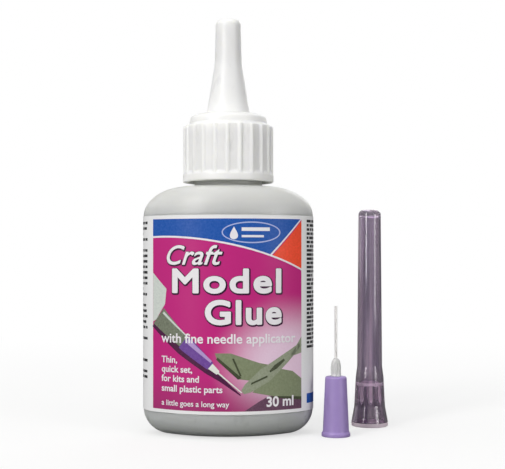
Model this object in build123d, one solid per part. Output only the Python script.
from build123d import *
from math import cos, radians, sin, sqrt
import os

# Glue applicator bottle: a squeeze bottle with a chimney cap, its needle tip and the needle's sheath.
# Millimetres. Origin: middle of the bottle's base. +Z up, -Y the label's front, +X the needle's side.

# Bottle body: a flattened oval of four tangent arcs
BODY_HALF_WIDTH = 19.55
BODY_HALF_DEPTH = 12.0
SIDE_RADIUS = 7.5
WALL = 0.85
BASE_RADIUS = 6.0
BASE_THICKNESS = 1.5
PUSH_UP_INSET = 7.2
PUSH_UP_DEPTH = 0.7
STRAIGHT_TOP_Z = 49.9
SHOULDER_TOP_Z = 56.7
SHOULDER_TOP_HALF_WIDTH = 9.6
SHOULDER_TOP_HALF_DEPTH = 9.0
SHOULDER_TOP_SIDE_GAP = 0.3
SHOULDER_STEPS = 6

# Screw neck: 18-410 finish
NECK_RADIUS = 7.8
NECK_BORE_RADIUS = 5.6
NECK_TOP_Z = 69.6
THREAD_RADIUS = 8.8
THREAD_LEAD = 3.175
THREAD_TURNS = 1.5
THREAD_TOP_Z = 67.6
THREAD_BOTTOM_Z = THREAD_TOP_Z - THREAD_LEAD * THREAD_TURNS
THREAD_ROOT_WIDTH = 2.2
THREAD_CREST_WIDTH = 1.1
THREAD_EMBED = 0.3

# Label and contents
LABEL_BOTTOM_Z = 5.7
LABEL_TOP_Z = 49.9
LABEL_THICKNESS = 0.12
GLUE_LEVEL_Z = 47.5
GLUE_GAP = 0.05

# Dropper plug
FLANGE_RADIUS = 7.3
FLANGE_THICKNESS = 1.2
SLEEVE_RADIUS = 5.5
SLEEVE_BORE_RADIUS = 4.6
SLEEVE_BOTTOM_Z = 61.0
SLEEVE_LEAD_IN = 0.3
SPOUT_BASE_RADIUS = 3.6
COLLAR_RADIUS = 2.5
COLLAR_Z = 82.5
LUER_BASE_RADIUS = 2.235
LUER_TIP_RADIUS = 1.98
SPOUT_TIP_Z = 91.0
ORIFICE_RADIUS = 0.75
SPOUT_WALL = 1.0

# Cap: ribbed skirt, domed shoulder, cone and chimney
CAP_BOTTOM_Z = 57.7
CAP_BAND_TOP_Z = 59.3
RIB_TOP_Z = 70.25
CAP_RADIUS = 10.45
RIB_HEIGHT = 0.42
RIB_WIDTH = 0.95
RIB_COUNT = 22
SKIRT_EDGE_ROUND = 0.3
DOME_FOOT_Z = 71.25
DOME_FOOT_RADIUS = 8.95
DOME_RADIUS = 8.85
DOME_ROUND_Z = 72.25
DOME_TOP_Z = 73.5
CONE_BASE_RADIUS = 5.02
CONE_TOP_Z = 83.4
CONE_TOP_RADIUS = 3.4
CHIMNEY_BASE_Z = 86.8
CHIMNEY_BASE_RADIUS = 3.04
CHIMNEY_TOP_RADIUS = 2.86
CAP_TOP_Z = 95.4
CHIMNEY_TOP_ROUND = 1.3
SKIRT_BORE_RADIUS = 9.1
SKIRT_BORE_TOP_Z = 68.9
NECK_CLEARANCE_RADIUS = 8.1
LINER_SEAT_Z = 70.9
CAP_THREAD_RADIUS = 8.1
CAP_THREAD_ROOT_WIDTH = 1.7
CAP_THREAD_CREST_WIDTH = 0.7
LINER_SEAT_RADIUS = 7.6
DECK_Z = 72.1
CONE_BORE_BASE_RADIUS = 4.1
CONE_BORE_TOP_RADIUS = 2.75
CHIMNEY_BORE_BASE_RADIUS = 2.42
CHIMNEY_BORE_TOP_RADIUS = 2.2
COLLAR_CLEARANCE = 0.4
CHIMNEY_BORE_TOP_Z = 93.6
PIN_RADIUS = 0.58
PIN_BOTTOM_Z = 89.9
LINER_RADIUS = 7.4
LINER_BORE_RADIUS = 5.0
LINER_BOTTOM_Z = 70.9
LINER_TOP_Z = 72.0

# Needle: 24 gauge blunt tip on a female luer hub
NEEDLE_X = 24.5
NEEDLE_Y = -5.2
HUB_HEIGHT = 13.6
HUB_FLANGE_RADIUS = 3.25
HUB_FLANGE_HEIGHT = 0.8
HUB_BOTTOM_RADIUS = 2.95
HUB_TOP_RADIUS = 2.4
SOCKET_MOUTH_RADIUS = 2.15
SOCKET_DEPTH = 8.5
SOCKET_TAPER = 0.06
HUB_CHANNEL_RADIUS = 0.5
HUB_EDGE = 0.4
NOSE_SEAT_RADIUS = 0.9
NOSE_SEAT_Z = 11.6
NOSE_HEIGHT = 4.0
NOSE_RADIUS = 1.15
NOSE_STRAIGHT_HEIGHT = 1.6
NOSE_TOP_RADIUS = 0.42
TUBE_TOP_Z = 29.4
TUBE_RADIUS = 0.283
TUBE_BORE_RADIUS = 0.155

# Needle sheath
SHEATH_X = 33.8
SHEATH_Y = 10.1
SHEATH_HEIGHT = 51.9
SHEATH_TOP_RADIUS = 2.66
SHEATH_TUBE_RADIUS = 2.98
SHEATH_GRIP_RADIUS = 3.32
SHEATH_FLARE_RADIUS = 3.68
SHEATH_RIM_RADIUS = 4.35
SHEATH_RIM_HEIGHT = 1.0
SHEATH_FLARE_TOP_Z = 4.7
SHEATH_FLARE_FOOT_DIRECTION = (-1, 1.5)
SHEATH_FLARE_TOP_DIRECTION = (-0.2, 1)
SHEATH_GRIP_TOP_Z = 11.7
SHEATH_TUBE_BOTTOM_Z = 14.3
SHEATH_LEDGE_Z = 9.8
SHEATH_TIP_ROUND = 1.3
SHEATH_WALL = 0.7
SHEATH_CLOSED_END = 1.4
SHEATH_MOUTH_BORE_RADIUS = 3.75
SHEATH_FLARE_BORE_RADIUS = 3.0
SHEATH_GRIP_BORE_RADIUS = 2.8
GRIP_RIB_COUNT = 8
GRIP_RIB_HEIGHT = 0.45
GRIP_RIB_WIDTH = 0.6
GRIP_RIB_BOTTOM_Z = 5.2
GRIP_RIB_POINT_HEIGHT = 1.0
GRIP_RIB_EMBED = 0.25

# How far a cutting shape runs past the faces that it cuts
OVERRUN = 1.0


def oval(half_width, half_depth, side_radius, z):
    """A wire of four tangent arcs: broad at front and back, tight at the sides."""
    side_x = half_width - side_radius
    front_radius = (side_x**2 + half_depth**2 - side_radius**2) / (2 * (half_depth - side_radius))
    centre_y = front_radius - half_depth
    slope = sqrt(side_x**2 + centre_y**2)
    join_x = side_x + side_radius * side_x / slope
    join_y = side_radius * centre_y / slope
    right = ThreePointArc((join_x, -join_y, z), (half_width, 0, z), (join_x, join_y, z))
    back = ThreePointArc((join_x, join_y, z), (0, half_depth, z), (-join_x, join_y, z))
    left = ThreePointArc((-join_x, join_y, z), (-half_width, 0, z), (-join_x, -join_y, z))
    front = ThreePointArc((-join_x, -join_y, z), (0, -half_depth, z), (join_x, -join_y, z))
    return Wire([*right.edges(), *back.edges(), *left.edges(), *front.edges()])


def oval_block(inset, bottom_z, top_z):
    """A straight block on the body's oval, inset all round."""
    outline = oval(BODY_HALF_WIDTH - inset, BODY_HALF_DEPTH - inset, SIDE_RADIUS - inset, bottom_z)
    return extrude(Face(outline), amount=top_z - bottom_z, dir=(0, 0, 1))


def rounded_base_block(inset, bottom_z, top_z, round_radius):
    block = oval_block(inset, bottom_z, top_z)
    return fillet(block.faces().sort_by(Axis.Z)[0].edges(), round_radius)


def shoulder(inset):
    """The quarter-ellipse shoulder, from the body's oval in to a nearly round top."""
    top_side_radius = SHOULDER_TOP_HALF_DEPTH - SHOULDER_TOP_SIDE_GAP
    sections = []
    for step in range(SHOULDER_STEPS + 1):
        angle = radians(90 * step / SHOULDER_STEPS)
        half_width = SHOULDER_TOP_HALF_WIDTH + (BODY_HALF_WIDTH - SHOULDER_TOP_HALF_WIDTH) * cos(angle)
        half_depth = SHOULDER_TOP_HALF_DEPTH + (BODY_HALF_DEPTH - SHOULDER_TOP_HALF_DEPTH) * cos(angle)
        side_radius = top_side_radius + (SIDE_RADIUS - top_side_radius) * cos(angle)
        z = STRAIGHT_TOP_Z + (SHOULDER_TOP_Z - STRAIGHT_TOP_Z - inset) * sin(angle)
        sections.append(oval(half_width - inset, half_depth - inset, side_radius - inset, z))
    return Solid.make_loft(sections)


def rz(*points):
    """Points in the XZ plane from (radius, z) pairs."""
    return [(radius, 0, z) for radius, z in points]


def line(*points):
    return Polyline(*rz(*points)).edges()


def bend(start, end, start_direction, end_direction):
    """A smooth curve between two (radius, z) points that leaves and arrives along the given directions."""
    return Spline(*rz(start, end), tangents=rz(start_direction, end_direction)).edges()


def turned(*edges):
    """A solid of revolution about Z from the edges of a closed outline in the XZ plane."""
    return revolve(make_face(Wire(edges)), Axis.Z)


def turned_polygon(*points):
    return revolve(make_face(Polyline(*rz(*points), close=True)), Axis.Z)


def upright_cylinder(radius, bottom_z, top_z):
    return Pos(0, 0, (bottom_z + top_z) / 2) * Cylinder(radius, top_z - bottom_z)


def thread_ridge(root_radius, crest_radius, root_width, crest_width, start_z):
    """A trapezoid thread ridge that climbs THREAD_TURNS turns anticlockwise from +X, set into its wall."""
    outward = 1 if crest_radius > root_radius else -1
    base_radius = root_radius - outward * THREAD_EMBED
    path = Helix(THREAD_LEAD, THREAD_LEAD * THREAD_TURNS, base_radius, center=(0, 0, start_z))
    section = make_face(
        Polyline(
            (base_radius, 0, start_z - root_width / 2),
            (crest_radius, 0, start_z - crest_width / 2),
            (crest_radius, 0, start_z + crest_width / 2),
            (base_radius, 0, start_z + root_width / 2),
            close=True,
        )
    )
    return sweep(section, path, is_frenet=True)


def make_bottle():
    body = rounded_base_block(0, 0, STRAIGHT_TOP_Z, BASE_RADIUS) + shoulder(0)
    neck = upright_cylinder(NECK_RADIUS, SHOULDER_TOP_Z - OVERRUN, NECK_TOP_Z)
    inside = rounded_base_block(WALL, BASE_THICKNESS, STRAIGHT_TOP_Z, BASE_RADIUS - WALL) + shoulder(WALL)
    bore = upright_cylinder(NECK_BORE_RADIUS, STRAIGHT_TOP_Z, NECK_TOP_Z + OVERRUN)
    push_up = oval_block(PUSH_UP_INSET, -OVERRUN, PUSH_UP_DEPTH)
    thread = thread_ridge(NECK_RADIUS, THREAD_RADIUS, THREAD_ROOT_WIDTH, THREAD_CREST_WIDTH, THREAD_BOTTOM_Z)
    return body + neck + thread - inside - bore - push_up


def make_label():
    wrap = oval_block(-LABEL_THICKNESS, LABEL_BOTTOM_Z, LABEL_TOP_Z)
    return wrap - oval_block(0, LABEL_BOTTOM_Z - OVERRUN, LABEL_TOP_Z + OVERRUN)


def make_glue():
    inset = WALL + GLUE_GAP
    return rounded_base_block(inset, BASE_THICKNESS, GLUE_LEVEL_Z, BASE_RADIUS - inset)


def make_nozzle():
    flange_top = NECK_TOP_Z + FLANGE_THICKNESS
    outside = turned_polygon(
        (0, SLEEVE_BOTTOM_Z),
        (SLEEVE_RADIUS - SLEEVE_LEAD_IN, SLEEVE_BOTTOM_Z),
        (SLEEVE_RADIUS, SLEEVE_BOTTOM_Z + 2 * SLEEVE_LEAD_IN),
        (SLEEVE_RADIUS, NECK_TOP_Z),
        (FLANGE_RADIUS, NECK_TOP_Z),
        (FLANGE_RADIUS, flange_top),
        (SPOUT_BASE_RADIUS, flange_top),
        (COLLAR_RADIUS, COLLAR_Z),
        (LUER_BASE_RADIUS, COLLAR_Z),
        (LUER_TIP_RADIUS, SPOUT_TIP_Z),
        (0, SPOUT_TIP_Z),
    )
    channel = turned_polygon(
        (0, SLEEVE_BOTTOM_Z - OVERRUN),
        (SLEEVE_BORE_RADIUS, SLEEVE_BOTTOM_Z - OVERRUN),
        (SLEEVE_BORE_RADIUS, NECK_TOP_Z - SPOUT_WALL),
        (SPOUT_BASE_RADIUS - SPOUT_WALL, flange_top),
        (COLLAR_RADIUS - SPOUT_WALL, COLLAR_Z - SPOUT_WALL),
        (ORIFICE_RADIUS, COLLAR_Z),
        (ORIFICE_RADIUS, SPOUT_TIP_Z + OVERRUN),
        (0, SPOUT_TIP_Z + OVERRUN),
    )
    return outside - channel


def cap_outside():
    rib_root_radius = CAP_RADIUS - RIB_HEIGHT
    chimney_round_z = CAP_TOP_Z - CHIMNEY_TOP_ROUND
    cone_slope = (CONE_TOP_RADIUS - CONE_BASE_RADIUS, CONE_TOP_Z - DOME_TOP_Z)
    chimney_slope = (CHIMNEY_TOP_RADIUS - CHIMNEY_BASE_RADIUS, chimney_round_z - CHIMNEY_BASE_Z)
    skirt = line(
        (0, CAP_BOTTOM_Z),
        (CAP_RADIUS - SKIRT_EDGE_ROUND, CAP_BOTTOM_Z),
        (CAP_RADIUS, CAP_BOTTOM_Z + SKIRT_EDGE_ROUND),
        (CAP_RADIUS, CAP_BAND_TOP_Z),
        (rib_root_radius, CAP_BAND_TOP_Z + RIB_HEIGHT),
        (rib_root_radius, RIB_TOP_Z),
        (DOME_FOOT_RADIUS, DOME_FOOT_Z),
        (DOME_RADIUS, DOME_ROUND_Z),
    )
    dome = bend((DOME_RADIUS, DOME_ROUND_Z), (CONE_BASE_RADIUS, DOME_TOP_Z), (0, 1), (-1, 0))
    cone = line((CONE_BASE_RADIUS, DOME_TOP_Z), (CONE_TOP_RADIUS, CONE_TOP_Z))
    chimney_foot = (CHIMNEY_BASE_RADIUS, CHIMNEY_BASE_Z)
    waist = bend((CONE_TOP_RADIUS, CONE_TOP_Z), chimney_foot, cone_slope, chimney_slope)
    chimney = line(chimney_foot, (CHIMNEY_TOP_RADIUS, chimney_round_z))
    crown = bend((CHIMNEY_TOP_RADIUS, chimney_round_z), (0, CAP_TOP_Z), (0, 1), (-1, 0))
    axis = line((0, CAP_TOP_Z), (0, CAP_BOTTOM_Z))
    return turned(*skirt, *dome, *cone, *waist, *chimney, *crown, *axis)


def cap_inside():
    return turned_polygon(
        (0, CAP_BOTTOM_Z - OVERRUN),
        (SKIRT_BORE_RADIUS, CAP_BOTTOM_Z - OVERRUN),
        (SKIRT_BORE_RADIUS, SKIRT_BORE_TOP_Z),
        (NECK_CLEARANCE_RADIUS, SKIRT_BORE_TOP_Z),
        (NECK_CLEARANCE_RADIUS, LINER_SEAT_Z),
        (LINER_SEAT_RADIUS, LINER_SEAT_Z),
        (LINER_SEAT_RADIUS, DECK_Z),
        (CONE_BORE_BASE_RADIUS, DECK_Z),
        (CONE_BORE_TOP_RADIUS, COLLAR_Z + COLLAR_CLEARANCE),
        (CHIMNEY_BORE_BASE_RADIUS, COLLAR_Z + 2 * COLLAR_CLEARANCE),
        (CHIMNEY_BORE_TOP_RADIUS, CHIMNEY_BORE_TOP_Z),
        (PIN_RADIUS, CHIMNEY_BORE_TOP_Z),
        (PIN_RADIUS, PIN_BOTTOM_Z),
        (0, PIN_BOTTOM_Z),
    )


def make_cap():
    cap = cap_outside()
    rib = Pos(CAP_RADIUS - RIB_WIDTH / 2, 0, 0) * upright_cylinder(RIB_WIDTH / 2, CAP_BAND_TOP_Z, RIB_TOP_Z)
    for index in range(RIB_COUNT):
        cap += Rot(0, 0, (index + 0.5) * 360 / RIB_COUNT) * rib
    thread = thread_ridge(
        SKIRT_BORE_RADIUS,
        CAP_THREAD_RADIUS,
        CAP_THREAD_ROOT_WIDTH,
        CAP_THREAD_CREST_WIDTH,
        THREAD_BOTTOM_Z - THREAD_LEAD / 2,
    )
    return cap - cap_inside() + thread


def make_cap_liner():
    disc = upright_cylinder(LINER_RADIUS, LINER_BOTTOM_Z, LINER_TOP_Z)
    return disc - upright_cylinder(LINER_BORE_RADIUS, LINER_BOTTOM_Z - OVERRUN, LINER_TOP_Z + OVERRUN)


def make_needle_hub():
    socket_end_radius = SOCKET_MOUTH_RADIUS - SOCKET_DEPTH * SOCKET_TAPER / 2
    hub = turned_polygon(
        (SOCKET_MOUTH_RADIUS, 0),
        (HUB_FLANGE_RADIUS, 0),
        (HUB_FLANGE_RADIUS, HUB_FLANGE_HEIGHT),
        (HUB_BOTTOM_RADIUS, HUB_FLANGE_HEIGHT + HUB_EDGE),
        (HUB_TOP_RADIUS, HUB_HEIGHT - HUB_EDGE),
        (HUB_TOP_RADIUS - HUB_EDGE, HUB_HEIGHT),
        (NOSE_SEAT_RADIUS, HUB_HEIGHT),
        (NOSE_SEAT_RADIUS, NOSE_SEAT_Z),
        (HUB_CHANNEL_RADIUS, NOSE_SEAT_Z),
        (HUB_CHANNEL_RADIUS, SOCKET_DEPTH + HUB_EDGE),
        (socket_end_radius, SOCKET_DEPTH),
    )
    return Pos(NEEDLE_X, NEEDLE_Y, 0) * hub


def make_needle_nose():
    straight_top_z = HUB_HEIGHT + NOSE_STRAIGHT_HEIGHT
    tip_z = HUB_HEIGHT + NOSE_HEIGHT
    seat = line(
        (TUBE_RADIUS, NOSE_SEAT_Z),
        (NOSE_SEAT_RADIUS, NOSE_SEAT_Z),
        (NOSE_SEAT_RADIUS, HUB_HEIGHT),
        (NOSE_RADIUS, HUB_HEIGHT),
        (NOSE_RADIUS, straight_top_z),
    )
    ogive = bend((NOSE_RADIUS, straight_top_z), (NOSE_TOP_RADIUS, tip_z), (0, 1), (-1, 1))
    bore = line((NOSE_TOP_RADIUS, tip_z), (TUBE_RADIUS, tip_z), (TUBE_RADIUS, NOSE_SEAT_Z))
    return Pos(NEEDLE_X, NEEDLE_Y, 0) * turned(*seat, *ogive, *bore)


def make_needle_tube():
    tube = upright_cylinder(TUBE_RADIUS, NOSE_SEAT_Z, TUBE_TOP_Z)
    tube -= upright_cylinder(TUBE_BORE_RADIUS, NOSE_SEAT_Z - OVERRUN, TUBE_TOP_Z + OVERRUN)
    return Pos(NEEDLE_X, NEEDLE_Y, 0) * tube


def sheath_outside():
    round_z = SHEATH_HEIGHT - SHEATH_TIP_ROUND
    mouth = line((0, 0), (SHEATH_RIM_RADIUS, 0), (SHEATH_RIM_RADIUS, SHEATH_RIM_HEIGHT))
    flare_top = (SHEATH_FLARE_RADIUS, SHEATH_FLARE_TOP_Z)
    flare = bend(
        (SHEATH_RIM_RADIUS, SHEATH_RIM_HEIGHT),
        flare_top,
        SHEATH_FLARE_FOOT_DIRECTION,
        SHEATH_FLARE_TOP_DIRECTION,
    )
    tube = line(
        flare_top,
        (SHEATH_GRIP_RADIUS, SHEATH_GRIP_TOP_Z),
        (SHEATH_TUBE_RADIUS, SHEATH_TUBE_BOTTOM_Z),
        (SHEATH_TOP_RADIUS, round_z),
    )
    tip = bend((SHEATH_TOP_RADIUS, round_z), (0, SHEATH_HEIGHT), (0, 1), (-1, 0))
    axis = line((0, SHEATH_HEIGHT), (0, 0))
    return turned(*mouth, *flare, *tube, *tip, *axis)


def sheath_inside():
    return turned_polygon(
        (0, -OVERRUN),
        (SHEATH_MOUTH_BORE_RADIUS, -OVERRUN),
        (SHEATH_MOUTH_BORE_RADIUS, SHEATH_RIM_HEIGHT),
        (SHEATH_FLARE_BORE_RADIUS, SHEATH_FLARE_TOP_Z),
        (SHEATH_GRIP_BORE_RADIUS, SHEATH_LEDGE_Z),
        (SHEATH_TUBE_RADIUS - SHEATH_WALL, SHEATH_LEDGE_Z),
        (SHEATH_TOP_RADIUS - SHEATH_WALL, SHEATH_HEIGHT - SHEATH_CLOSED_END),
        (0, SHEATH_HEIGHT - SHEATH_CLOSED_END),
    )


def grip_rib():
    """One inner rib: a bar on the grip's wall with a lower end that slopes back into the wall."""
    inner = SHEATH_GRIP_BORE_RADIUS - GRIP_RIB_HEIGHT
    outer = SHEATH_GRIP_BORE_RADIUS + GRIP_RIB_EMBED
    top_z = SHEATH_LEDGE_Z + GRIP_RIB_EMBED
    side = make_face(
        Polyline(
            *rz(
                (outer, GRIP_RIB_BOTTOM_Z),
                (outer, top_z),
                (inner, top_z),
                (inner, GRIP_RIB_BOTTOM_Z + GRIP_RIB_POINT_HEIGHT),
            ),
            close=True,
        )
    )
    return extrude(side, amount=GRIP_RIB_WIDTH / 2, both=True)


def make_needle_sheath():
    sheath = sheath_outside() - sheath_inside()
    for index in range(GRIP_RIB_COUNT):
        sheath += Rot(0, 0, index * 360 / GRIP_RIB_COUNT) * grip_rib()
    return Pos(SHEATH_X, SHEATH_Y, 0) * sheath


os.makedirs("parts", exist_ok=True)
nodes = {
    "bottle": make_bottle(),
    "label": make_label(),
    "glue": make_glue(),
    "nozzle": make_nozzle(),
    "cap": make_cap(),
    "cap_liner": make_cap_liner(),
    "needle_hub": make_needle_hub(),
    "needle_nose": make_needle_nose(),
    "needle_tube": make_needle_tube(),
    "needle_sheath": make_needle_sheath(),
}
for name, shape in nodes.items():
    export_step(shape, f"parts/{name}.step")
